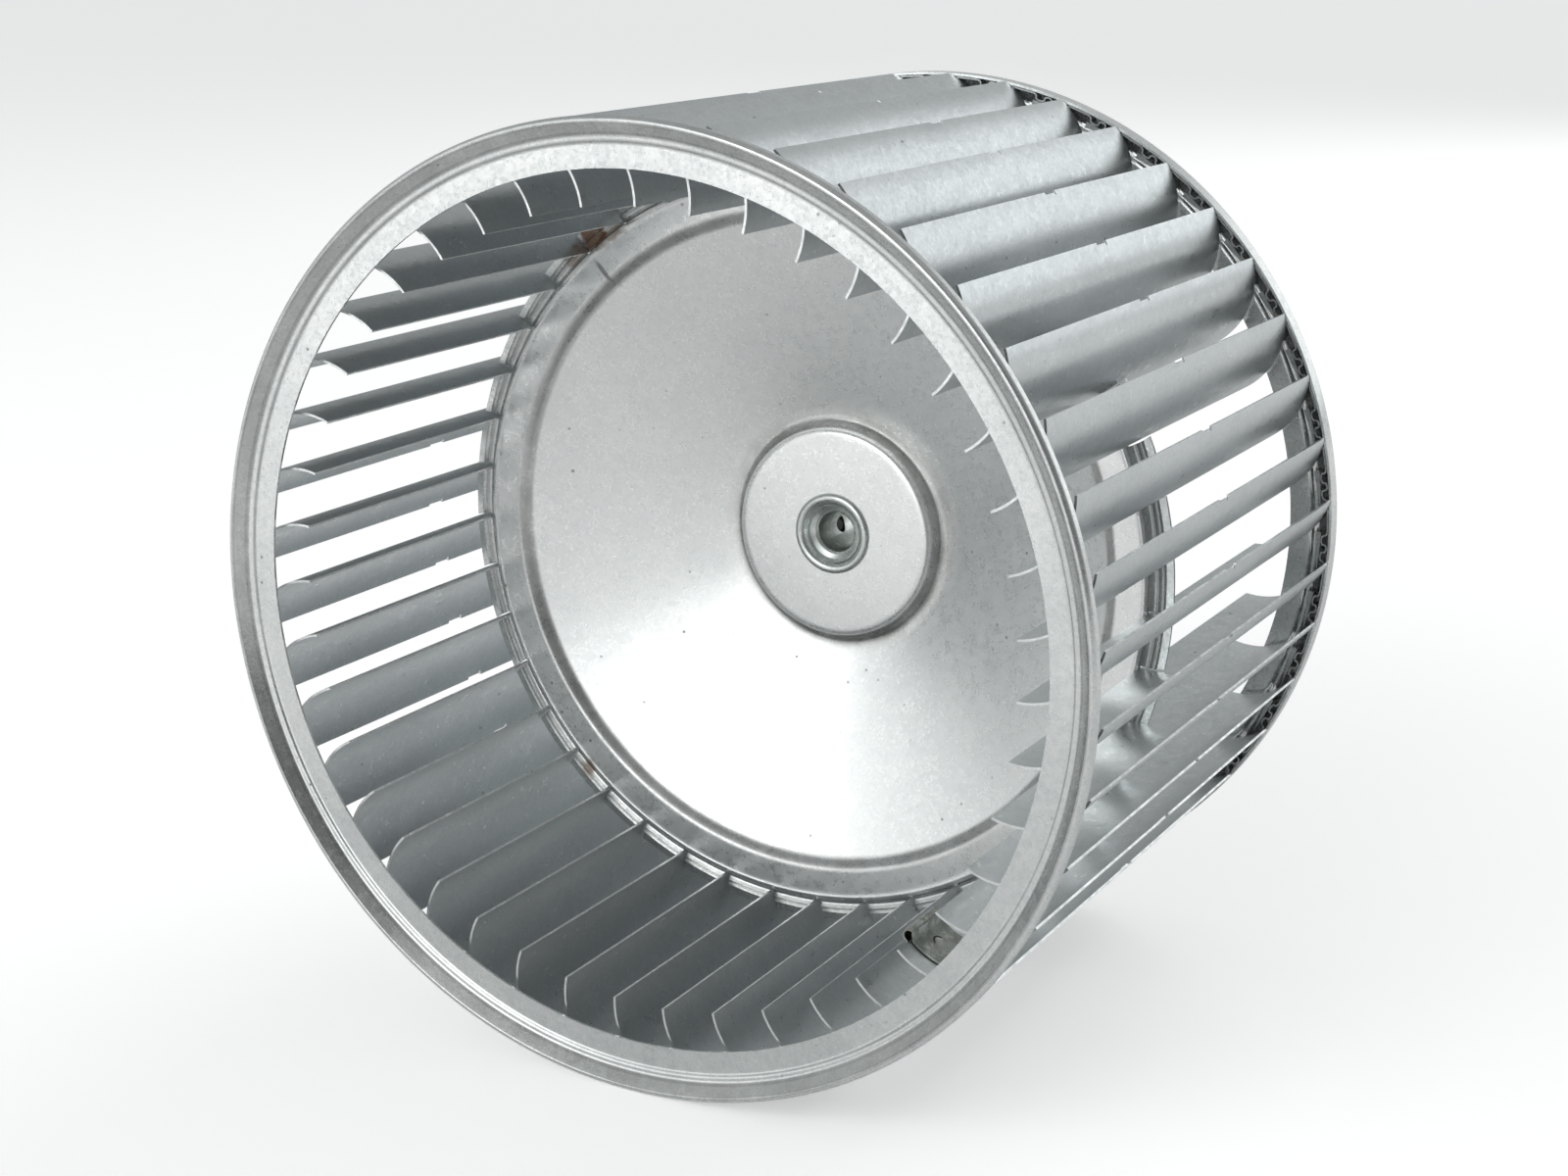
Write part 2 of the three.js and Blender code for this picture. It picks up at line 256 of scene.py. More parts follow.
def cells(tree, place, scale):
    """Voronoi cells: the distance to each cell's middle, and three chance numbers."""
    node = tree.nodes.new("ShaderNodeTexVoronoi")
    feed(tree, node.inputs["Vector"], place)
    feed(tree, node.inputs["Scale"], scale)
    split = tree.nodes.new("ShaderNodeSeparateColor")
    feed(tree, split.inputs[0], node.outputs["Color"])
    return node.outputs["Distance"], split.outputs


print("node helpers ready; textures count in metres")

# %% [markdown]
# ## Making and using a node group
# An effect that several metals share is built once, as a node group with named inputs
# and outputs. Each material then places the group with its own values, so zinc looks
# like zinc everywhere and a change in one place reaches every piece.

# %% Node groups
def new_group(name, inputs, outputs):
    """An empty group. Gives its tree, its inputs' values and its outputs' sockets."""
    tree = bpy.data.node_groups.new(name, "ShaderNodeTree")
    for socket_name, kind, value in inputs:
        socket = tree.interface.new_socket(socket_name, in_out="INPUT", socket_type=kind)
        socket.default_value = value
    for socket_name, kind in outputs:
        tree.interface.new_socket(socket_name, in_out="OUTPUT", socket_type=kind)
    given = tree.nodes.new("NodeGroupInput").outputs
    made = tree.nodes.new("NodeGroupOutput").inputs
    return tree, given, made


def use_group(tree, group, **values):
    """Places a group. A socket called "Cloud contrast" is set as Cloud_contrast=..."""
    node = tree.nodes.new("ShaderNodeGroup")
    node.node_tree = group
    for socket_name, value in values.items():
        feed(tree, node.inputs[socket_name.replace("_", " ")], value)
    return node.outputs


print("node groups so far:", len(bpy.data.node_groups))

# %% [markdown]
# ## Zinc spangle
# Hot-dip galvanised steel is covered in zinc crystals. Each crystal lies at its own
# angle, so neighbours differ a little in tone and gloss, and the coat is cloudy over
# wider patches. A Voronoi cell stands for a crystal here and two noises make the clouds.

# %% The "Zinc spangle" group
WOBBLE_SCALE = 600.0
WOBBLE_REACH = 0.003               # metres that a crystal's border may stray
CLOUD_SCALE = 28.0
FINE_SCALE = 900.0
CRYSTAL_TONE, CLOUD_TONE, FINE_TONE = 0.26, 0.34, 0.42
CRYSTAL_GLOSS, FINE_GLOSS = 0.08, 0.10
FINE_RELIEF, CLOUD_RELIEF = 0.6, 1.2


def zinc_spangle_group():
    tree, given, made = new_group(
        "Zinc spangle",
        [("Light", "NodeSocketColor", (0.8, 0.81, 0.81, 1)),
         ("Dark", "NodeSocketColor", (0.6, 0.62, 0.62, 1)),
         ("Crystals per metre", "NodeSocketFloat", 420.0),
         ("Cloud contrast", "NodeSocketFloat", 1.0),
         ("Gloss", "NodeSocketFloat", 0.35)],
        [("Color", "NodeSocketColor"), ("Roughness", "NodeSocketFloat"),
         ("Height", "NodeSocketFloat")],
    )
    place = place_in_object(tree)
    wobble = tree.nodes.new("ShaderNodeTexNoise")
    feed(tree, wobble.inputs["Vector"], place)
    feed(tree, wobble.inputs["Scale"], WOBBLE_SCALE)
    bent = vector_calc(tree, "MULTIPLY_ADD", wobble.outputs["Color"], (WOBBLE_REACH,) * 3, place)
    chances = cells(tree, bent, given["Crystals per metre"])[1]
    wide = ramped(tree, noise(tree, place, CLOUD_SCALE, 4.0), 0.3, 0.7)
    fine = ramped(tree, noise(tree, place, FINE_SCALE, 2.0, 0.7), 0.25, 0.75)
    cloud = calc(tree, "MULTIPLY", wide, given["Cloud contrast"])
    shade = weighted(tree, (chances[0], CRYSTAL_TONE), (cloud, CLOUD_TONE), (fine, FINE_TONE))
    feed(tree, made["Color"], mix_colour(tree, shade, given["Light"], given["Dark"]))
    uneven = weighted(tree, (chances[1], CRYSTAL_GLOSS), (fine, FINE_GLOSS))
    feed(tree, made["Roughness"], calc(tree, "ADD", given["Gloss"], uneven))
    feed(tree, made["Height"], weighted(tree, (fine, FINE_RELIEF), (wide, CLOUD_RELIEF)))
    return tree


ZINC_SPANGLE = zinc_spangle_group()
print("built", ZINC_SPANGLE.name)

# %% [markdown]
# ## Specks
# Store-room dirt and small pits show as dark specks of less than a millimetre. The
# group gives a mask: it says where the specks are, and the material decides how dark
# they get. Only a share of the cells holds a speck, and a wide noise makes them patchy.

# %% The "Dark specks" group
SPECK_STRETCH = (1.0, 0.6, 1.0)
SMALLEST_SPECK = 0.4
SPECK_PATCHES = 22.0


def dark_specks_group():
    tree, given, made = new_group(
        "Dark specks",
        [("Specks per metre", "NodeSocketFloat", 190.0),
         ("Size", "NodeSocketFloat", 0.12),
         ("Share", "NodeSocketFloat", 0.3)],
        [("Mask", "NodeSocketFloat")],
    )
    place = place_in_object(tree, SPECK_STRETCH)
    distance, chances = cells(tree, place, given["Specks per metre"])
    chosen = calc(tree, "LESS_THAN", chances[0], given["Share"])
    size = calc(tree, "MULTIPLY", given["Size"], calc(tree, "ADD", chances[1], SMALLEST_SPECK))
    dot = calc(tree, "SUBTRACT", 1.0, ramped(tree, distance, 0.0, size))
    clouds = noise(tree, place_in_object(tree), SPECK_PATCHES)
    patchy = ramped(tree, clouds, 0.35, 0.6, 0.25, 1.0)
    spotted = calc(tree, "MULTIPLY", chosen, dot)
    feed(tree, made["Mask"], calc(tree, "MULTIPLY", spotted, patchy))
    return tree


DARK_SPECKS = dark_specks_group()
print("built", DARK_SPECKS.name)

# %% [markdown]
# ## Scratches
# A scratch is a long, thin peak of a stretched noise. Each material says how much it is
# stretched, and without that its marks are short. A second, wider noise lets them
# through in a few places only, as real handling marks gather.

# %% The "Fine scratches" group
SCRATCH_SCALE = 160.0
SCRATCH_PATCHES = 35.0


def fine_scratches_group():
    tree, given, made = new_group(
        "Fine scratches",
        [("Stretch", "NodeSocketVector", (1.0, 1.0, 1.0)),
         ("Amount", "NodeSocketFloat", 0.3)],
        [("Mask", "NodeSocketFloat")],
    )
    place = place_in_object(tree, given["Stretch"])
    lines = ramped(tree, noise(tree, place, SCRATCH_SCALE, 2.0), 0.60, 0.72)
    clouds = noise(tree, place_in_object(tree), SCRATCH_PATCHES, 2.0)
    gathered = calc(tree, "MULTIPLY", lines, ramped(tree, clouds, 0.45, 0.62))
    feed(tree, made["Mask"], calc(tree, "MULTIPLY", gathered, given["Amount"]))
    return tree


FINE_SCRATCHES = fine_scratches_group()
print("built", FINE_SCRATCHES.name)

# %% [markdown]
# ## Stains
# A stain sits in one place. The group measures how far a point is from the stain's
# centre, turns that step round the axle so that the first size lies along the radius,
# counts it in the stain's own sizes, and breaks the outline up with noise.

# %% The "Stain" group
STAIN_EDGE_SCALE = 260.0
STAIN_EDGE_REACH = 3.0
STAIN_CORE = 0.35                  # part of the size that is fully stained


def stain_group():
    tree, given, made = new_group(
        "Stain",
        [("Centre", "NodeSocketVector", (0.0, 0.0, 0.0)),
         ("Size", "NodeSocketVector", (0.01, 0.01, 0.01)),
         ("Turn", "NodeSocketFloat", 0.0),
         ("Ragged", "NodeSocketFloat", 0.6)],
        [("Mask", "NodeSocketFloat")],
    )
    place = place_in_object(tree)
    lined_up = tree.nodes.new("ShaderNodeVectorRotate")
    lined_up.rotation_type = "Y_AXIS"
    feed(tree, lined_up.inputs["Vector"], vector_calc(tree, "SUBTRACT", place, given["Centre"]))
    feed(tree, lined_up.inputs["Angle"], given["Turn"])
    counted = vector_calc(tree, "DIVIDE", lined_up.outputs[0], given["Size"])
    uneven = calc(tree, "SUBTRACT", noise(tree, place, STAIN_EDGE_SCALE), 0.5)
    rough = calc(tree, "MULTIPLY", uneven, given["Ragged"])
    reach = calc(tree, "ADD", vector_calc(tree, "LENGTH", counted),
                 calc(tree, "MULTIPLY", rough, STAIN_EDGE_REACH))
    feed(tree, made["Mask"], calc(tree, "SUBTRACT", 1.0, ramped(tree, reach, STAIN_CORE, 1.0)))
    return tree


STAIN = stain_group()
print("built", STAIN.name)

# %% [markdown]
# ## Shade and grime in turned grooves
# A band between two radii is darkened. In the moat round the hub's boss and on the
# disc's band it is painted shade; on the rings, the disc's step and the crimp it darkens
# the creases. All our grooves run round the axle, so one number finds them: the distance
# from the axle. The mask is full between two radii, fades over a set width and is broken
# up by noise.

# %% The group for shade and grime in grooves
SHADE_AND_GRIME_PATCHES = 90.0


def groove_shade_and_grime_group():
    tree, given, made = new_group(
        "Groove shade and grime",
        [("From", "NodeSocketFloat", 0.1345),
         ("To", "NodeSocketFloat", 0.1375),
         ("Fade", "NodeSocketFloat", 0.0008)],
        [("Mask", "NodeSocketFloat")],
    )
    radius = vector_calc(tree, "LENGTH", place_in_object(tree, (1.0, 0.0, 1.0)))
    first = calc(tree, "SUBTRACT", given["From"], given["Fade"])
    last = calc(tree, "ADD", given["To"], given["Fade"])
    inside = ramped(tree, radius, first, given["From"])
    beyond = ramped(tree, radius, given["To"], last)
    band = calc(tree, "MULTIPLY", inside, calc(tree, "SUBTRACT", 1.0, beyond))
    clouds = noise(tree, place_in_object(tree), SHADE_AND_GRIME_PATCHES, 4.0)
    broken = ramped(tree, clouds, 0.25, 0.7, 0.5, 1.0)
    feed(tree, made["Mask"], calc(tree, "MULTIPLY", band, broken))
    return tree


GROOVE_SHADE_AND_GRIME = groove_shade_and_grime_group()
print("built", GROOVE_SHADE_AND_GRIME.name)

# %% [markdown]
# ## A shader to start from
# Each material starts from the Principled shader. How metallic it is stands on the
# shader's own socket, because it is the same all over. A Bump node turns a height in
# the finish into a slope of the surface.

# %% New material and bump
def new_material(name, metallic):
    """A material, its node tree and its Principled shader's sockets."""
    material = bpy.data.materials.new(name)
    material.use_nodes = True
    sockets = material.node_tree.nodes["Principled BSDF"].inputs
    sockets["Metallic"].default_value = metallic
    return material, material.node_tree, sockets


def bump(tree, sockets, height, distance):
    node = tree.nodes.new("ShaderNodeBump")
    node.inputs["Distance"].default_value = distance
    feed(tree, node.inputs["Height"], height)
    feed(tree, sockets["Normal"], node.outputs["Normal"])


print("materials so far:", len(bpy.data.materials))

# %% [markdown]
# ## Galvanised sheet
# The recipe goes in layers: zinc first, scratches and specks on it, then stains, as on
# the real sheet, and last the groove bands, which are painted shade in the moat and on
# the disc's band and darker creases elsewhere. White zinc oxide is a little dull, so
# the sheet is not quite a full metal. Specks are pits, so they also lower the surface.

# %% The galvanised recipe
SPECK = (0.16, 0.16, 0.165, 1)
# The groove bands' tint: painted shade in the moat and on the disc's band, darker creases
# elsewhere.
GROOVE_SHADE_AND_GRIME_TINT = (0.205, 0.205, 0.19, 1)
SPECK_ROUGHER = 0.3
STAIN_ROUGHER = 0.35
SPECK_DEPTH = 1.5
ZINC_RELIEF = 0.000012             # metres


def galvanised(name, light, dark, gloss, specks, scratches, stretch=(1.0, 1.0, 1.0),
               crystals=420.0, stains=(), grooves=(), metallic=0.9):
    """Zinc-coated sheet, with stains from `stain_at` and darkened grooves: painted shade in
    some, darker creases in others.

    A groove is (from radius, to radius, fade, strength), in mm.
    """
    material, tree, sockets = new_material(name, metallic)
    zinc = use_group(tree, ZINC_SPANGLE, Light=(*light, 1), Dark=(*dark, 1),
                     Crystals_per_metre=crystals, Gloss=gloss)
    dots = use_group(tree, DARK_SPECKS, Share=specks)["Mask"]
    lines = use_group(tree, FINE_SCRATCHES, Stretch=stretch, Amount=scratches)["Mask"]
    colour = mix_colour(tree, lines, zinc["Color"], (*dark, 1))
    colour = mix_colour(tree, dots, colour, SPECK)
    roughness = calc(tree, "ADD", zinc["Roughness"], calc(tree, "MULTIPLY", dots, SPECK_ROUGHER))
    for centre, size, turn, ragged, strength, tint in stains:
        mask = use_group(tree, STAIN, Centre=centre, Size=size, Turn=turn, Ragged=ragged)["Mask"]
        mask = calc(tree, "MULTIPLY", mask, strength)
        colour = mix_colour(tree, mask, colour, tint)
        rougher = calc(tree, "MULTIPLY", mask, STAIN_ROUGHER)
        roughness = calc(tree, "ADD", roughness, rougher)
    # Groove bands darken the colour: painted shade in the moat and on the disc's band, darker
    # creases elsewhere.
    for start, end, fade, strength in grooves:
        band = use_group(tree, GROOVE_SHADE_AND_GRIME, From=start * MM, To=end * MM, Fade=fade * MM)
        mask = calc(tree, "MULTIPLY", band["Mask"], strength)
        colour = mix_colour(tree, mask, colour, GROOVE_SHADE_AND_GRIME_TINT)
    feed(tree, sockets["Base Color"], colour)
    feed(tree, sockets["Roughness"], roughness)
    pits = calc(tree, "MULTIPLY", dots, SPECK_DEPTH)
    bump(tree, sockets, calc(tree, "SUBTRACT", zinc["Height"], pits), ZINC_RELIEF)
    return material


print("the zinc's relief is", ZINC_RELIEF / MM, "mm")

# %% [markdown]
# ## Where the dirt and the painted shade are
# Rust started at the disc's rim in two places, where a blade rubbed the zinc off its
# slot, and somebody left a dark tick beside one. The rolled ring's corners, the disc's
# step and outer groove and the crimp's flutes are darker along their creases. The moat
# round the hub's boss and the band outside the step carry painted shade.

# %% Stains, and shade and grime in grooves
RUST = (0.22, 0.11, 0.045, 1)
GREY_DIRT = (0.20, 0.20, 0.19, 1)


def stain_at(radius, degrees, y, across, tint=RUST, ragged=0.6, strength=0.85):
    """A stain in mm, reaching `across` along the radius, the axle and the rim."""
    turn = math.radians(degrees)
    centre = tuple(polar(radius, turn, y) * MM)
    return centre, tuple(MM * size for size in across), turn, ragged, strength, tint


RIM_STAINS = (
    stain_at(118.5, 129.0, 1, (6, 7, 7)),
    stain_at(114.5, 126.0, 0, (3.5, 6, 9), strength=0.55),
    stain_at(118, 134.0, 1, (4, 6, 5), strength=0.45),
    stain_at(116.5, -133.0, 0, (5, 6, 4), strength=0.65),
)
TICK_MARK = stain_at(107.0, 130.6, 0, (6.8, 6, 1.15), GREY_DIRT, 0.12, 0.75)

# Each groove: from radius, to radius, fade (mm), strength.
RING_GROOVES = [
    (132.4, 132.7, 0.35, 0.45), (134.5, 135.0, 0.4, 0.45), (135.2, 137.4, 0.8, 0.36),
    (137.7, 138.1, 0.4, 0.5),
]
CRIMP_GROOVES = [(115.0, 115.4, 0.4, 0.5), (117.0, 117.7, 0.4, 0.5), (119.0, 119.4, 0.3, 0.4)]
# Painted shade: a soft dark ring in the moat round the hub's boss.
MOAT_PAINTED_SHADE = [(33.9, 36.2, 0.8, 0.50), (35.6, 36.4, 2.4, 0.48), (37.5, 37.6, 4.2, 0.34)]
# Darker creases at the disc's step and outer groove, and a light painted shade over the band
# between them.
STEP_SHADE_AND_CREASES = [(101.6, 104.2, 1.3, 0.5), (105.0, 112.0, 1.0, 0.12), (113.0, 115.0, 0.8, 0.35)]
print(len(RIM_STAINS), "rust stains, the first", RIM_STAINS[0][0], "metres from the centre")

# %% [markdown]
# ## Five galvanised finishes
# One recipe makes all five, with other values. The disc is brightest, the rings are
# rubbed glossy, the blades have scratches along their length, and the crimp and the
# hidden edge strips carry the most specks and scratches. The edge strips are also much
# darker than the blades they are cut with: painted shade for the rings' channels that
# hide them.

# %% The galvanised metals
RING_METAL = galvanised(
    "galvanised_ring", light=(0.84, 0.85, 0.84), dark=(0.62, 0.64, 0.64), gloss=0.15,
    specks=0.35, scratches=0.15, crystals=480.0, grooves=RING_GROOVES)
BLADE_METAL = galvanised(
    "galvanised_blade", light=(0.76, 0.79, 0.80), dark=(0.63, 0.66, 0.67), gloss=0.25,
    specks=0.24, scratches=0.10, stretch=(1.0, 0.12, 1.0), stains=RIM_STAINS[:1])
DISC_METAL = galvanised(
    "galvanised_disc", light=(0.97, 0.97, 0.96), dark=(0.84, 0.85, 0.85), gloss=0.22,
    specks=0.36, scratches=0.08, stains=(TICK_MARK,) + RIM_STAINS,
    grooves=MOAT_PAINTED_SHADE + STEP_SHADE_AND_CREASES, metallic=0.86)
CRIMP_METAL = galvanised(
    "galvanised_crimp", light=(0.78, 0.79, 0.78), dark=(0.55, 0.57, 0.57), gloss=0.22,
    specks=0.5, scratches=0.2, stains=RIM_STAINS, grooves=CRIMP_GROOVES)
# The edge strips' dark tones are painted shade: the same sheet as the blades, darkened for the
# rings' shaded channels.
SHADED_WEB_METAL = galvanised(
    "galvanised_web_painted_shade", light=(0.58, 0.59, 0.58), dark=(0.30, 0.31, 0.31), gloss=0.30,
    specks=0.5, scratches=0.2)
zinc_metals = (RING_METAL, BLADE_METAL, DISC_METAL, CRIMP_METAL, SHADED_WEB_METAL)
print("galvanised:", ", ".join(material.name for material in zinc_metals))

# %% [markdown]
# ## Plated and bare steel
# The hub and the clip are thinly plated, the screw is oiled black, and the sheet's cut
# edges were sheared after galvanising, so they show bright bare steel. A simpler recipe
# does for all of them: a little uneven tone, a few specks and short marks.

# %% The plain metals
PLAIN_SPECKS = 0.2
PLAIN_RELIEF = 0.00001             # metres
UNEVEN_SCALE = 300.0
UNEVEN_GLOSS = 0.12


def plain_metal(name, light, dark, gloss, scratches=0.3, metallic=1.0):
    material, tree, sockets = new_material(name, metallic)
    uneven = ramped(tree, noise(tree, place_in_object(tree), UNEVEN_SCALE), 0.3, 0.7)
    lines = use_group(tree, FINE_SCRATCHES, Amount=scratches)["Mask"]
    dots = use_group(tree, DARK_SPECKS, Share=PLAIN_SPECKS)["Mask"]
    colour = mix_colour(tree, uneven, (*light, 1), (*dark, 1))
    colour = mix_colour(tree, dots, mix_colour(tree, lines, colour, (*dark, 1)), SPECK)
    feed(tree, sockets["Base Color"], colour)
    rougher = calc(tree, "MULTIPLY", uneven, UNEVEN_GLOSS)
    feed(tree, sockets["Roughness"], calc(tree, "ADD", rougher, gloss))
    bump(tree, sockets, calc(tree, "ADD", uneven, lines), PLAIN_RELIEF)
    return material


CUT_EDGE = plain_metal("cut_edge", (0.88, 0.89, 0.89), (0.70, 0.71, 0.71), 0.26)
PLATED_HUB = plain_metal("plated_hub", (0.72, 0.75, 0.73), (0.62, 0.65, 0.63), 0.24,
                         scratches=0.05)
PLATED_CLIP = plain_metal("plated_clip", (0.40, 0.41, 0.38), (0.24, 0.25, 0.23), 0.22)
SLIT_DARK = plain_metal("slit_dark", (0.03, 0.03, 0.03), (0.015, 0.015, 0.015), 0.6,
                        metallic=0.3)
BLACK_SCREW = plain_metal("black_screw", (0.05, 0.05, 0.052), (0.025, 0.025, 0.027), 0.34,
                          metallic=0.85)
print("materials:", len(bpy.data.materials))

# %% [markdown]
# ## End rings
# Each ring is rolled from one strip: a flat inner band, a small ridge, a cone up to the
# crest, and a lip turned over the blade ends. Turning the section round the axle gives
# the ring. The front lip is shallow and the rear one deeper, so each end gets its own.

# %% Both end rings
RING_SHEET = 0.8
RING_STEPS = 288
FRONT, REAR = -1, 1
RING_FACE = [                       # radius, depth from the wheel's end plane
    (125.5, 4.35), (132.1, 4.35), (133.0, 3.6), (134.2, 3.5), (135.0, 2.75),
    (137.2, 0.75), (138.0, 0.05), (139.0, 0.3), (139.6, 1.4),
]
RING_REACH = 0.55
FRONT_LIP = 3.7
REAR_LIP = 7.5


def end_ring(name, lip, side):
    face = rounded(RING_FACE + [(RING_FACE[-1][0], lip)], RING_REACH)
    section = [(radius, side * (wheel_half_width - depth))
               for radius, depth in sheet_section(face, RING_SHEET)]
    bm = bmesh.new()
    turned(bm, section, RING_STEPS)
    return stored(name, bm, [RING_METAL])


fitted(end_ring("front_ring", FRONT_LIP, FRONT), "wheel", "galvanised_ring", "front_end_ring")
fitted(end_ring("rear_ring", REAR_LIP, REAR), "wheel", "galvanised_ring", "rear_end_ring")

# %% [markdown]
# ## Blades
# The blades are lanced from one strip and bent forward. Each starts radial at its inner
# edge and turns through about 77 degrees, which throws the air forward as it leaves.
# We draw the arc for the blade on +X and turn every point to its own blade.

# %% A blade's arc
BLADE_COUNT = 43
BLADE_PITCH = 2 * math.pi / BLADE_COUNT
FIRST_BLADE = math.radians(5.584)
BLADE_INNER = 115.2
BLADE_ARC = 23.4
BLADE_SWEEP = math.radians(77.2)


def blade_angle(index):
    return FIRST_BLADE + index * BLADE_PITCH


def beside_arc(sweep, offset):
    """A point of the blade on +X, as (x, z), offset to the side of its middle."""
    radius = BLADE_ARC - offset
    return Vector((BLADE_INNER + radius * math.sin(sweep), BLADE_ARC - radius * math.cos(sweep)))


def at_angle(point, angle, y):
    """A point drawn for the blade on +X, turned to its place on the wheel."""
    cos, sin = math.cos(angle), math.sin(angle)
    return Vector((point.x * cos - point.y * sin, y, point.x * sin + point.y * cos))


outer_edge = beside_arc(BLADE_SWEEP, 0)
print("a blade reaches from radius", BLADE_INNER, "to", round(outer_edge.length, 1), "mm")

# %% [markdown]
# ## One mesh per blade
# Every blade is its own mesh, because real ones differ by a fraction of a degree and
# the zinc pattern shouldn't repeat. The outer edge has a notch where the disc is
# crimped, with a small nick at its rear end. The faces along the cut edges get the
# bright bare steel. Each blade leans and bows a little by chance, from a fixed seed.

# %% Forty-three blades
BLADE_SHEET = 0.7
BLADE_STEPS = 20
BLADE_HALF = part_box("blade_01")[1].y / MM
NOTCH_DEPTHS = {-2.85: 0.0, -2.8: 0.7, 3.3: 0.7, 3.35: 1.4, 4.2: 1.4, 4.25: 0.0}
BOW_STATIONS = [24, 47, 71, BLADE_HALF]
BLADE_STATIONS = sorted([-y for y in BOW_STATIONS] + list(NOTCH_DEPTHS) + BOW_STATIONS)
EDGE_SLOT = 1                      # the cut edge is the second material
MOST_LEAN = 0.12                   # degrees
MOST_BOW = 0.10


def blade(index, lean, bow):
    angle = blade_angle(index) + lean
    rows = []
    for y in BLADE_STATIONS:
        ends = BLADE_SWEEP - NOTCH_DEPTHS.get(y, 0.0) / BLADE_ARC
        sweeps = [BLADE_SWEEP * i / BLADE_STEPS for i in range(BLADE_STEPS)] + [ends]
        turn = angle + bow * math.cos(math.pi * y / (2 * BLADE_HALF))
        sides = [[at_angle(beside_arc(sweep, offset), turn, y) for sweep in sweeps]
                 for offset in (-BLADE_SHEET / 2, BLADE_SHEET / 2)]
        rows.append(sides[0] + sides[1][::-1])
    bm = bmesh.new()
    grid, faces = skin(bm, rows, loop=True)
    around = 2 * (BLADE_STEPS + 1)
    edges = [face for number, face in enumerate(faces)
             if number % around in (BLADE_STEPS, around - 1)]
    for face in edges + cap(bm, grid[0]) + cap(bm, grid[-1]):
        face.material_index = EDGE_SLOT
    return stored(f"blade_sheet_{index + 1:02d}", bm, [BLADE_METAL, CUT_EDGE])


chance = random.Random(43)
for index in range(BLADE_COUNT):
    lean = math.radians(chance.uniform(-MOST_LEAN, MOST_LEAN))
    bow = math.radians(chance.uniform(-MOST_BOW, MOST_BOW))
    fitted(blade(index, lean, bow), "wheel", "galvanised_blade", f"blade_{index + 1:02d}")

# %% [markdown]
# ## Edge strips
# The strip's two edges stay whole when the blades are lanced from it. Rolled into a
# drum they are too long, so they gather in small pleats that the rings' channels hide.
# We draw one pitch of the pleated line, repeat it 43 times and smooth the whole loop
# with a Catmull-Rom curve, which passes through every point that we gave it.

# %% The pleated line
PLEAT_STEPS = 3
PLEATS = [                          # radius, degrees from the blade's inner edge
    (138.3, -3.4), (138.35, -1.8), (137.9, -0.9), (137.0, -0.75), (136.55, -0.2),
    (136.9, 0.35), (137.9, 0.45), (138.3, 0.9), (137.9, 1.4), (136.95, 1.45),
    (136.55, 2.0), (136.9, 2.6), (137.9, 2.75), (138.35, 3.3),
]


def closed_smooth(points, steps):
    """A smooth closed line through points (Catmull-Rom)."""
    line = []
    count = len(points)
    for i in range(count):
        a, b, c, d = (points[(i + k - 1) % count] for k in range(4))
        for s in range(steps):
            t = s / steps
            line.append(0.5 * (2 * b + (c - a) * t + (2 * a - 5 * b + 4 * c - d) * t ** 2
                               + (3 * b - a - 3 * c + d) * t ** 3))
    return line


def at_polar(radius, angle):
    return Vector((radius * math.cos(angle), radius * math.sin(angle)))


pleated_line = closed_smooth(
    [at_polar(radius, blade_angle(index) + math.radians(degrees))
     for index in range(BLADE_COUNT) for radius, degrees in PLEATS], PLEAT_STEPS)
print("the pleated line has", len(pleated_line), "points")

# %% [markdown]
# ## Giving the strips body
# The line becomes a wall: one copy half a thickness inwards, one outwards, joined at
# both ends. A neck joins each blade's end to the strip. Behind, where the ring leaves
# more to see, a small tab stands beside each neck.

# %% Both edge strips, with necks and tabs
STRIP_SHEET = 0.5
STRIP_END = 99.3
FRONT_STRIP_START = 97.7
REAR_STRIP_START = 95.3
NECK_SWEEPS = [math.radians(degrees) for degrees in (56, 60, 64, 68)]
NECK_START = BLADE_HALF + 0.05
NECK_END = 98.4
TAB = [(134.4, 3.1), (136.2, 3.1), (136.1, 0.2), (135.9, -2.4), (135.5, -1.2)]
TAB_START = 95.6


def prism(bm, outline, start, end):
    """A closed plate between two y values. The outline holds (x, z) points."""
    rows = [[Vector((p.x, y, p.y)) for p in outline] for y in (start, end)]
    grid = skin(bm, rows, loop=True)[0]
    bm.faces.new(grid[0])
    bm.faces.new(grid[1][::-1])


def strip_wall(offset):
    wall = []
    for i, point in enumerate(pleated_line):
        along = pleated_line[(i + 1) % len(pleated_line)] - pleated_line[i - 1]
        along.normalize()
        wall.append(point + Vector((-along.y, along.x)) * offset)
    return wall


def edge_strip(name, side, start, with_tabs):
    bm = bmesh.new()
    inner, outer = strip_wall(-STRIP_SHEET / 2), strip_wall(STRIP_SHEET / 2)
    rows = [[Vector((p.x, side * y, p.y)) for p in wall]
            for wall, y in ((inner, start), (inner, STRIP_END),
                            (outer, STRIP_END), (outer, start))]
    skin(bm, rows, ring=True, loop=True)
    neck = [beside_arc(sweep, -STRIP_SHEET / 2) for sweep in NECK_SWEEPS]
    neck += [beside_arc(sweep, STRIP_SHEET / 2) for sweep in reversed(NECK_SWEEPS)]
    for index in range(BLADE_COUNT):
        angle = blade_angle(index)
        turn = Matrix.Rotation(angle, 2)
        prism(bm, [turn @ p for p in neck], side * NECK_START, side * NECK_END)
        if with_tabs:
            tab = [at_polar(radius, angle + math.radians(degrees)) for radius, degrees in TAB]
            prism(bm, tab, side * TAB_START, side * (TAB_START + STRIP_SHEET))
    return stored(name, bm, [SHADED_WEB_METAL])


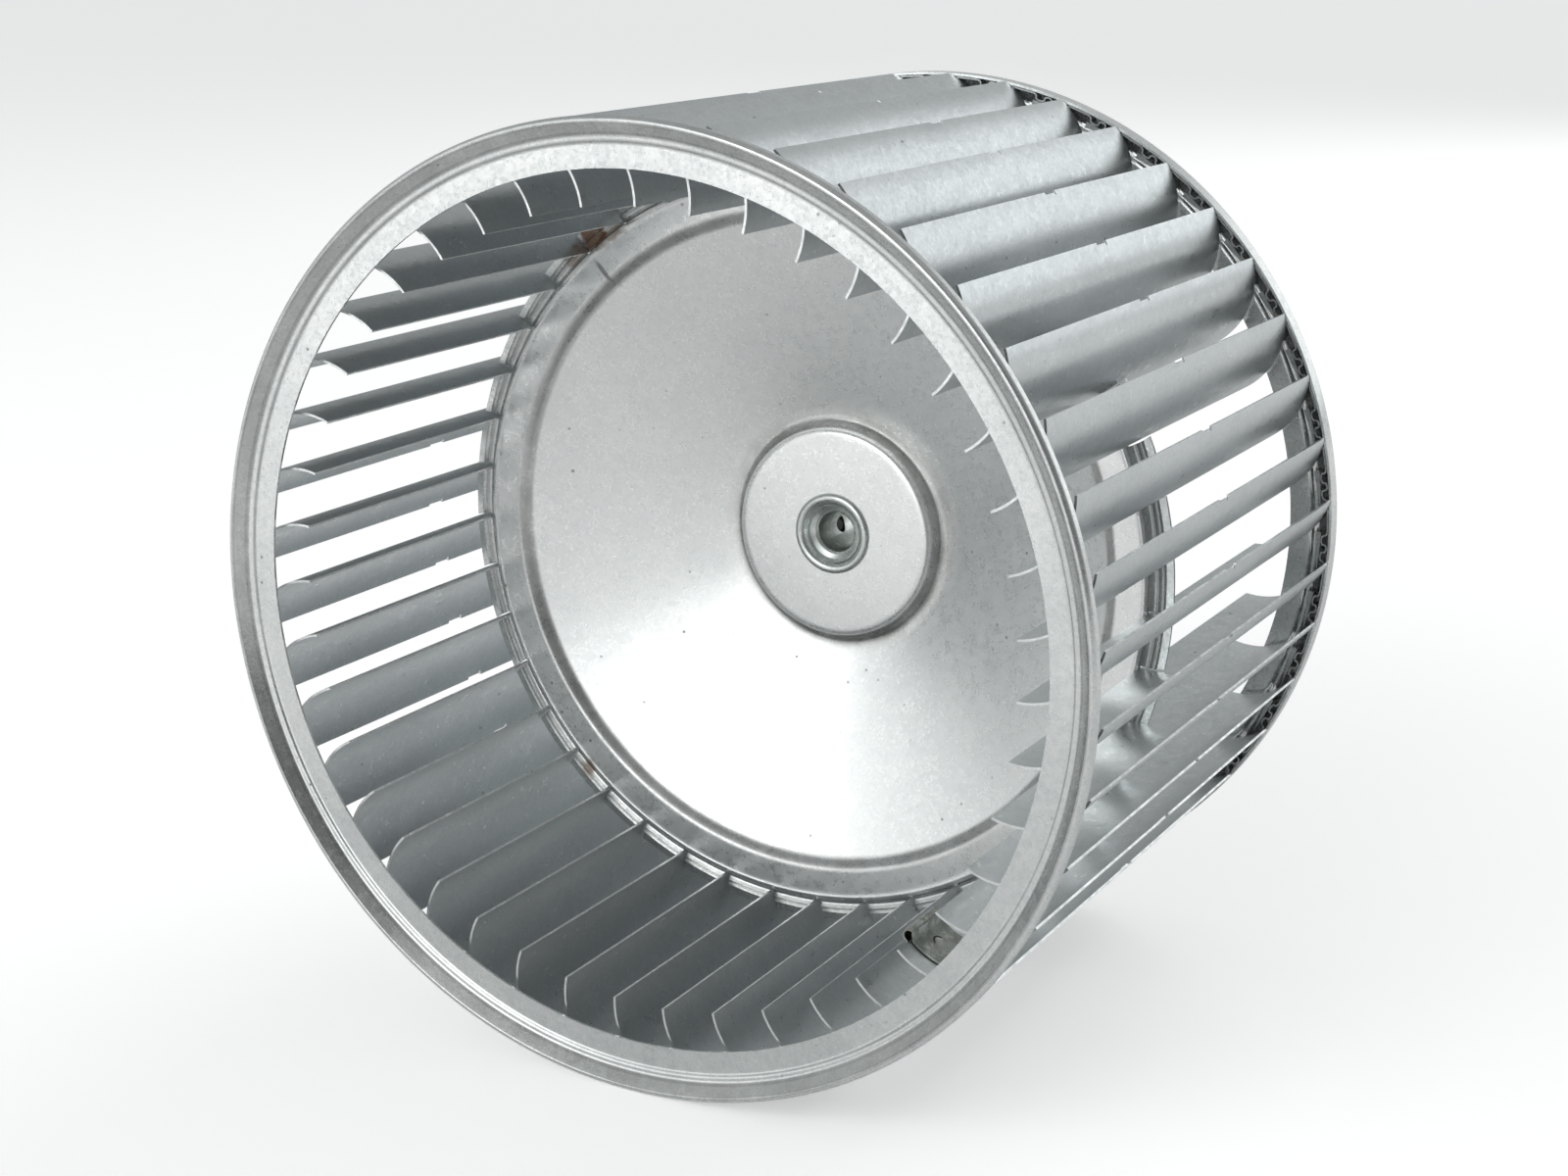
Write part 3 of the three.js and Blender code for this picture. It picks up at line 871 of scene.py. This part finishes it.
fitted(edge_strip("front_strip", FRONT, FRONT_STRIP_START, False),
       "wheel", "galvanised_blade", "front_edge_web")
fitted(edge_strip("rear_strip", REAR, REAR_STRIP_START, True),
       "wheel", "galvanised_blade", "rear_edge_web")

# %% [markdown]
# ## Centre disc
# The disc is deep drawn: a flat boss for the hub, a moat round it, a shallow cone, a
# step and an outer band with a bead at the rim. The cone keeps the thin sheet from
# flexing. It is turned like the rings, from a section of its front face.

# %% The dished disc
DISC_SHEET = 1.0
DISC_STEPS = 256
DISC_FACE = [                       # radius, y on the front face
    (11.2, 22.3), (31.9, 22.3), (33.2, 22.75), (33.8, 24.0), (34.3, 26.0), (35.4, 27.5),
    (37.2, 27.9), (39.6, 27.3), (43.0, 26.0),
    (101.7, 2.6), (103.4, 0.75), (104.6, -0.1), (112.6, -0.5), (113.6, -0.9), (114.6, -0.2),
]
DISC_REACH = 1.1
disc_mesh = bmesh.new()
turned(disc_mesh, sheet_section(rounded(DISC_FACE, DISC_REACH), DISC_SHEET), DISC_STEPS)
fitted(stored("dished_disc", disc_mesh, [DISC_METAL]), "wheel", "galvanised_disc", "centre_disc")

# %% [markdown]
# ## Crimped rim
# Outside the disc's bead a plate stands in each gap, and every blade passes through a
# slot between two plates. A tool has pressed fine flutes into them to lock the blades.
# First we need to know where a blade's arc crosses each radius, so that the slots
# follow it. Halving an interval again and again finds that place.

# %% Where the blades cross the rim
HALVINGS = 30


def arc_angle(radius):
    """The angle of a blade's middle at a radius, from the blade's inner edge."""
    if radius <= BLADE_INNER:
        return 0.0
    low, high = 0.0, BLADE_SWEEP
    for _ in range(HALVINGS):
        sweep = (low + high) / 2
        if beside_arc(sweep, 0).length < radius:
            low = sweep
        else:
            high = sweep
    point = beside_arc(sweep, 0)
    return math.atan2(point.y, point.x)


print("at radius 120 mm a blade has turned", round(math.degrees(arc_angle(120)), 2), "degrees")

# %% [markdown]
# ## The rim's plates
# The mesh is a polar grid whose columns follow the blades, with the faces left out
# where a slot runs. The flutes are real ridges in the rows' heights. Extruding the whole
# front gives the plates their thickness.

# %% The slotted, fluted rim
CRIMP_ROWS = [                      # radius, y on the front face
    (111.0, 1.5), (113.4, 1.3), (114.7, 0.9), (115.2, 0.5), (115.7, 0.8), (116.2, 1.25),
    (116.7, 1.1), (117.2, 0.55), (117.6, 0.45), (118.0, 0.9), (118.4, 1.25), (118.9, 0.8),
    (119.3, 0.65), (119.8, 1.15), (121.9, 1.4),
]
CRIMP_SHEET = 0.9
CRIMP_COLUMNS = 10
CRIMP_CLEAR = 0.75
CRIMP_SLOT = 114.9                 # the slots start at this radius


def crimp_grid(bm):
    """A row of points at each radius, CRIMP_COLUMNS of them from blade to blade."""
    grid = []
    for radius, y in CRIMP_ROWS:
        clear = CRIMP_CLEAR / radius
        row = []
        for index in range(BLADE_COUNT):
            start = blade_angle(index) + arc_angle(radius) + clear
            span = BLADE_PITCH - 2 * clear
            for column in range(CRIMP_COLUMNS):
                angle = start + span * column / (CRIMP_COLUMNS - 1)
                row.append(bm.verts.new(polar(radius, angle, y)))
        grid.append(row)
    return grid


def crimped_rim():
    bm = bmesh.new()
    grid = crimp_grid(bm)
    total = len(grid[0])
    for i in range(len(grid) - 1):
        beyond_slot = CRIMP_ROWS[i + 1][0] > CRIMP_SLOT
        for j in range(total):
            if beyond_slot and j % CRIMP_COLUMNS == CRIMP_COLUMNS - 1:
                continue
            k = (j + 1) % total
            bm.faces.new((grid[i][j], grid[i][k], grid[i + 1][k], grid[i + 1][j]))
    bmesh.ops.recalc_face_normals(bm, faces=bm.faces)
    made = bmesh.ops.extrude_face_region(bm, geom=bm.faces[:])
    back = [item for item in made["geom"] if isinstance(item, bmesh.types.BMVert)]
    bmesh.ops.translate(bm, vec=(0, CRIMP_SHEET, 0), verts=back)
    return stored("crimped_rim", bm, [CRIMP_METAL])


fitted(crimped_rim(), "wheel", "galvanised_disc", "rim_crimp_ring")

# %% [markdown]
# ## Hub
# The hub is turned from bar and swaged into the disc: its front edge is rolled out into
# a round bead that grips the sheet. Behind the disc are a flange and the barrel, with a
# threaded cross hole for the set screw. A Boolean modifier drills the hole, and its
# result is applied so that the mesh itself is drilled.

# %% The turned hub
HUB_STEPS = 128
HUB_SECTION = [                     # radius, y
    (6.35, 25.6), (6.6, 24.9), (7.3, 24.4), (8.6, 24.0), (9.3, 23.4), (9.7, 22.6),
    (10.1, 21.8), (10.6, 21.3), (11.3, 21.05), (12.0, 21.1), (12.6, 21.4), (12.9, 21.85),
    (12.6, 22.2), (10.9, 22.27), (10.9, 23.35), (19.0, 23.35), (19.0, 26.2), (18.6, 26.6),
    (14.9, 26.6), (14.3, 27.2), (14.3, 59.2), (13.5, 60.0), (7.1, 60.0), (6.35, 59.2),
]
SCREW_ANGLE = math.radians(193)
SCREW_Y = 40.0
HOLE_RADIUS = 2.65                 # just under the thread's root, so its crests bite
DRILL_STEPS = 64
DRILL_LENGTH = 16
DRILL_MIDDLE = 12


def applied(piece):
    """Replaces a piece's mesh with what its modifiers make of it."""
    graph = bpy.context.evaluated_depsgraph_get()
    mesh = bpy.data.meshes.new_from_object(piece.evaluated_get(graph))
    piece.modifiers.clear()
    piece.data = mesh


def drilled_hub():
    bm = bmesh.new()
    turned(bm, HUB_SECTION, HUB_STEPS)
    piece = stored("swaged_hub", bm, [PLATED_HUB])
    bm = bmesh.new()
    bmesh.ops.create_cone(bm, cap_ends=True, segments=DRILL_STEPS, radius1=HOLE_RADIUS,
                          radius2=HOLE_RADIUS, depth=DRILL_LENGTH)
    aim = polar(1, SCREW_ANGLE, 0).to_track_quat("Z", "Y").to_matrix().to_4x4()
    place = Matrix.Translation(polar(DRILL_MIDDLE, SCREW_ANGLE, SCREW_Y))
    bmesh.ops.transform(bm, verts=bm.verts, matrix=place @ aim)
    drill = stored("drill", bm, [PLATED_HUB])
    cut = piece.modifiers.new("cross hole", "BOOLEAN")
    cut.operation = "DIFFERENCE"
    cut.solver = "EXACT"
    cut.object = drill
    applied(piece)
    bpy.data.objects.remove(drill)
    piece.data.set_sharp_from_angle(angle=SHARP_ANGLE)
    return piece


fitted(drilled_hub(), "wheel", "plated_hub", "hub")

# %% [markdown]
# ## Set screw
# A quarter-inch socket set screw clamps the hub on the shaft. The thread is a helix cut
# into a cylinder: the radius of each point depends on how far it is from the nearest
# turn. The thread fades out at both ends, where a real screw has its chamfers.

# %% Thread and socket outlines
SCREW_RADIUS = 3.1
SCREW_TIP = 6.6                    # from the axle to the screw's inner end
SCREW_LENGTH = 9.5
SCREW_POINT = 0.9
SCREW_CHAMFER = 0.3
THREAD_PITCH = 1.27
THREAD_DEPTH = 0.35
THREAD_FLANK = 2.4                 # how steeply the groove's sides fall
FADE_IN, FADE_OUT = 0.6, 0.5
SOCKET_RADIUS = 1.83


def thread_radius(angle, along):
    turn = (along / THREAD_PITCH + angle / (2 * math.pi)) % 1.0
    depth = THREAD_DEPTH * min(1.0, THREAD_FLANK * abs(turn - 0.5))
    before_end = SCREW_LENGTH - SCREW_CHAMFER - along
    fade = min(1.0, (along - SCREW_POINT) / FADE_IN, before_end / FADE_OUT)
    return SCREW_RADIUS - depth * max(0.0, fade)


def hexagon_radius(angle):
    from_middle = angle % (math.pi / 3) - math.pi / 6
    return SOCKET_RADIUS * math.cos(math.pi / 6) / math.cos(from_middle)


print("the socket is", round(SOCKET_RADIUS * math.sqrt(3), 2), "mm across its flats")

# %% [markdown]
# ## One skin for the whole screw
# The hexagon socket uses the same number of points a row as the thread, so the screw is
# one closed skin: point, thread, chamfer, face and socket are only rows with other
# radii. It rides its own body, because it moves.

# %% The threaded set screw
SCREW_COLUMNS = 48
SOCKET_DEPTH = 3.4
SOCKET_BEVEL = 0.15
DRILL_POINT = 0.4                  # what the socket's drill leaves below the hexagon
THREAD_ROWS = 50
THREAD_START = 0.95
POINT_ROWS = [(0, 0.6), (0, 1.8), (SCREW_POINT, 2.7)]    # along, radius
END_CHAMFER = 0.5
SOCKET_END = 0.3


def screw_row(along, radius_at):
    """One row of points round the screw, `along` mm from its tip."""
    out = polar(1, SCREW_ANGLE, 0)
    up = Vector((0, 1, 0))
    side = out.cross(up)
    middle = out * (SCREW_TIP + along) + up * SCREW_Y
    row = []
    for column in range(SCREW_COLUMNS):
        angle = 2 * math.pi * column / SCREW_COLUMNS
        radius = radius_at(angle)
        row.append(middle + up * radius * math.cos(angle) + side * radius * math.sin(angle))
    return row


def round_row(along, radius):
    return screw_row(along, lambda angle: radius)


def thread_rows():
    length = SCREW_LENGTH - SCREW_CHAMFER - THREAD_START
    for i in range(THREAD_ROWS + 1):
        along = THREAD_START + length * i / THREAD_ROWS
        yield screw_row(along, lambda angle: thread_radius(angle, along))


def set_screw():
    rows = [round_row(along, radius) for along, radius in POINT_ROWS]
    rows.extend(thread_rows())
    rows.append(round_row(SCREW_LENGTH, SCREW_RADIUS - END_CHAMFER))
    rows.append(screw_row(SCREW_LENGTH, lambda angle: hexagon_radius(angle) + SOCKET_BEVEL))
    rows.append(screw_row(SCREW_LENGTH - SOCKET_BEVEL, hexagon_radius))
    rows.append(screw_row(SCREW_LENGTH - SOCKET_DEPTH, hexagon_radius))
    rows.append(round_row(SCREW_LENGTH - SOCKET_DEPTH - DRILL_POINT, SOCKET_END))
    bm = bmesh.new()
    grid = skin(bm, rows, loop=True)[0]
    bm.faces.new(grid[0][::-1])
    bm.faces.new(grid[-1])
    return stored("socket_screw", bm, [BLACK_SCREW])


fitted(set_screw(), "set_screw", "black_screw", "set_screw")

# %% [markdown]
# ## Balance clip
# After spinning the wheel on a balancing stand, the maker pushes a small spring clip
# over one blade's inner edge. Seen along the axle it is a line: up one side of the
# blade, round a roll, and down the other side on a longer leg. So we draw that line.

# %% The clip's line
CLIP_BLADE = -6                    # six blades back from the first
CLIP_SHEET = 0.6
CLIP_OFFSET = 0.75
CLIP_LONG = math.radians(26)
CLIP_SHORT = math.radians(12)
CLIP_ROLL = 1.7
CLIP_ROLL_REACH = 1.15
ROLL_STEP = 15                     # degrees
SHORT_STEPS = 4
LONG_STEPS = 10


def clip_line():
    line = [beside_arc(CLIP_SHORT * part / SHORT_STEPS, -CLIP_OFFSET)
            for part in range(SHORT_STEPS, -1, -1)]
    middle = Vector((BLADE_INNER - CLIP_ROLL_REACH, CLIP_ROLL - CLIP_OFFSET))
    for degrees in range(-90, -271, -ROLL_STEP):
        line.append(middle + CLIP_ROLL * at_polar(1, math.radians(degrees)))
    return line + [beside_arc(CLIP_LONG * part / LONG_STEPS, CLIP_OFFSET)
                   for part in range(1, LONG_STEPS + 1)]


print("the clip's line has", len(clip_line()), "points")

# %% [markdown]
# ## The clip and its slit
# The line gets a thickness and is swept along the axle. The long leg has a curved slit,
# whose lip bites into the blade. A thin dark arc let into the leg gives it the slit's
# shape and shade, and is much easier to keep clean than a cut through a curved leg.

# %% The balance clip
clip_low, clip_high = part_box("balance_clip")
CLIP_STATIONS = 12
SLIT_SLOT = 1                      # the dark slit is the second material
SLIT_REACH = 2.2
SLIT_WIDTH = 0.55
SLIT_DOWN = 6.0                    # along the leg, from the blade's inner edge
SLIT_PROUD = 0.03
SLIT_DEPTH = 0.1
SLIT_DEGREES = range(20, 161, 14)


def slit_rows(angle):
    near, far = SLIT_REACH - SLIT_WIDTH / 2, SLIT_REACH + SLIT_WIDTH / 2
    corners = ((near, -SLIT_DEPTH), (far, -SLIT_DEPTH), (far, SLIT_PROUD), (near, SLIT_PROUD))
    middle_y = (clip_low.y + clip_high.y) / 2 / MM
    for degrees in SLIT_DEGREES:
        turn = math.radians(degrees)
        row = []
        for reach, height in corners:
            down = SLIT_DOWN - reach * math.sin(turn)
            point = beside_arc(down / BLADE_ARC, CLIP_OFFSET + CLIP_SHEET / 2 + height)
            row.append(at_angle(point, angle, middle_y + reach * math.cos(turn)))
        yield row


def balance_clip():
    middle = clip_line()
    outline = beside(middle, -CLIP_SHEET / 2) + beside(middle, CLIP_SHEET / 2)[::-1]
    angle = blade_angle(CLIP_BLADE)
    low, high = clip_low.y / MM, clip_high.y / MM
    bm = bmesh.new()
    rows = [[at_angle(point, angle, low + (high - low) * i / CLIP_STATIONS)
             for point in outline] for i in range(CLIP_STATIONS + 1)]
    grid = skin(bm, rows, loop=True)[0]
    cap(bm, grid[0])
    cap(bm, grid[-1])
    slit_grid, slit_faces = skin(bm, list(slit_rows(angle)), loop=True)
    ends = [bm.faces.new(slit_grid[0]), bm.faces.new(slit_grid[-1][::-1])]
    for face in slit_faces + ends:
        face.material_index = SLIT_SLOT
    return stored("balance_spring_clip", bm, [PLATED_CLIP, SLIT_DARK])


fitted(balance_clip(), "wheel", "plated_clip", "balance_clip")

# %% [markdown]
# ## Floor
# The wheel stands on a plain pale floor, large enough to fill any view. It glows a
# little for the camera only, so it looks nearly white without lighting the metal more.

# %% The pale floor
FLOOR_HALF = 30.0
FLOOR_PALE = (0.9, 0.9, 0.9, 1)
FLOOR_ROUGH = 0.8
FLOOR_GLOW = 0.4
floor_z = cad_box[0][2]
floor_mesh = bpy.data.meshes.new("floor")
floor_mesh.from_pydata(
    [(x * FLOOR_HALF, y * FLOOR_HALF, floor_z) for x, y in ((-1, -1), (1, -1), (1, 1), (-1, 1))],
    [], [(0, 1, 2, 3)])
floor = bpy.data.objects.new("floor", floor_mesh)
bpy.context.collection.objects.link(floor)
pale, pale_tree, pale_sockets = new_material("pale_floor", 0.0)
pale_sockets["Base Color"].default_value = FLOOR_PALE
pale_sockets["Roughness"].default_value = FLOOR_ROUGH
pale_sockets["Emission Color"].default_value = (1, 1, 1, 1)
seen_by_camera = pale_tree.nodes.new("ShaderNodeLightPath").outputs["Is Camera Ray"]
feed(pale_tree, pale_sockets["Emission Strength"],
     calc(pale_tree, "MULTIPLY", seen_by_camera, FLOOR_GLOW))
floor_mesh.materials.append(pale)
print("floor at", round(floor_z / MM, 1), "mm")

# %% [markdown]
# ## Surroundings
# Polished metal shows its surroundings, so the surroundings are the main lighting. The
# room is dim. One bright patch stands in front, a little above the wheel, with weaker
# ones to its left, below and behind, and the right side is darker, which gives the
# blades their contrast. The camera itself sees plain white behind the wheel.

# %% Light from all round
ROOM_LIGHT = 0.34
ROOM_TINT = (0.97, 1.0, 1.0, 1)
BRIGHT_PARTS = [                    # direction, cosines where it starts and is full, strength
    ((-0.07, -0.94, 0.34), 0.90, 0.985, 1.5),
    ((-0.50, -0.80, 0.34), 0.87, 0.98, 0.6),
    ((0.17, -0.97, 0.17), 0.93, 0.99, 0.4),
    ((0.42, 0.89, 0.17), 0.88, 0.99, 0.75),
    ((0.0, 1.0, 0.1), 0.80, 0.99, 0.25),
    ((-0.9, -0.2, 0.1), 0.5, 0.95, 0.15),
]
DARK_PARTS = [                      # direction, cosines, how much darker
    ((0.87, -0.50, 0.10), 0.45, 0.85, 0.6),
]


def lobe(tree, towards, low, high, strength):
    """Light from round a direction, fading where the cosine falls to `low`."""
    direction = tree.nodes.new("ShaderNodeTexCoord").outputs["Generated"]
    cosine = vector_calc(tree, "DOT_PRODUCT", direction, Vector(towards).normalized())
    return ramped(tree, cosine, low, high, 0.0, strength)


def background(tree, colour, strength):
    node = tree.nodes.new("ShaderNodeBackground")
    feed(tree, node.inputs["Color"], colour)
    feed(tree, node.inputs["Strength"], strength)
    return node.outputs[0]


def surroundings():
    world = bpy.data.worlds.new("studio")
    bpy.context.scene.world = world
    world.use_nodes = True
    tree = world.node_tree
    tree.nodes.clear()
    total = ROOM_LIGHT
    for part in BRIGHT_PARTS:
        total = calc(tree, "ADD", total, lobe(tree, *part))
    for part in DARK_PARTS:
        total = calc(tree, "MULTIPLY", total, calc(tree, "SUBTRACT", 1.0, lobe(tree, *part)))
    either = tree.nodes.new("ShaderNodeMixShader")
    feed(tree, either.inputs[0], tree.nodes.new("ShaderNodeLightPath").outputs["Is Camera Ray"])
    tree.links.new(background(tree, ROOM_TINT, total), either.inputs[1])
    tree.links.new(background(tree, (1, 1, 1, 1), 1.0), either.inputs[2])
    output = tree.nodes.new("ShaderNodeOutputWorld")
    tree.links.new(either.outputs[0], output.inputs["Surface"])


surroundings()
print(len(BRIGHT_PARTS), "bright parts and", len(DARK_PARTS), "dark part round the wheel")

# %% [markdown]
# ## Softboxes
# A weak softbox in front adds a soft shine. The strong ones, behind and over the floor,
# are hidden from the metal's gloss, because their mirror images would burn out. They
# mostly light the floor, and the rings and the disc reflect the bright pool on it.

# %% Three softboxes
def softbox(name, place, aim, size, watts, glossy=True):
    light = bpy.data.lights.new(name, "AREA")
    light.size = size
    light.energy = watts
    lamp = bpy.data.objects.new(name, light)
    lamp.location = place
    lamp.rotation_euler = (Vector(aim) - Vector(place)).to_track_quat("-Z", "Y").to_euler()
    lamp.visible_glossy = glossy
    bpy.context.collection.objects.link(lamp)
    print(name, watts, "W")


softbox("front_softbox", (-0.5, -2.4, 1.3), (0, 0, 0), 1.6, 4)
softbox("back_softbox", (0.9, 2.1, 1.5), (0, 0, 0), 2.6, 30, glossy=False)
softbox("floor_light", (-1.0, -1.95, 0.9), (-1.0, -1.96, 0), 1.6, 27, glossy=False)

# %% [markdown]
# ## Camera
# The camera stands close, in front, to the right and a little above, so near parts look
# larger than far ones. The plain "Standard" view keeps whites white.

# %% The camera
CAMERA_PLACE = (0.36155, -0.66993, 0.19407)
CAMERA_AIM = (-0.0025, -0.0050, -0.0117)
camera = bpy.data.objects.new("camera", bpy.data.cameras.new("camera"))
camera.data.lens = 58.24
camera.data.sensor_width = 36.0
camera.location = CAMERA_PLACE
line_of_sight = Vector(CAMERA_AIM) - Vector(CAMERA_PLACE)
camera.rotation_euler = line_of_sight.to_track_quat("-Z", "Y").to_euler()
bpy.context.collection.objects.link(camera)
bpy.context.scene.camera = camera
bpy.context.scene.view_settings.view_transform = "Standard"
print("camera", round(camera.data.lens, 1), "mm,", round(line_of_sight.length, 2), "m away")
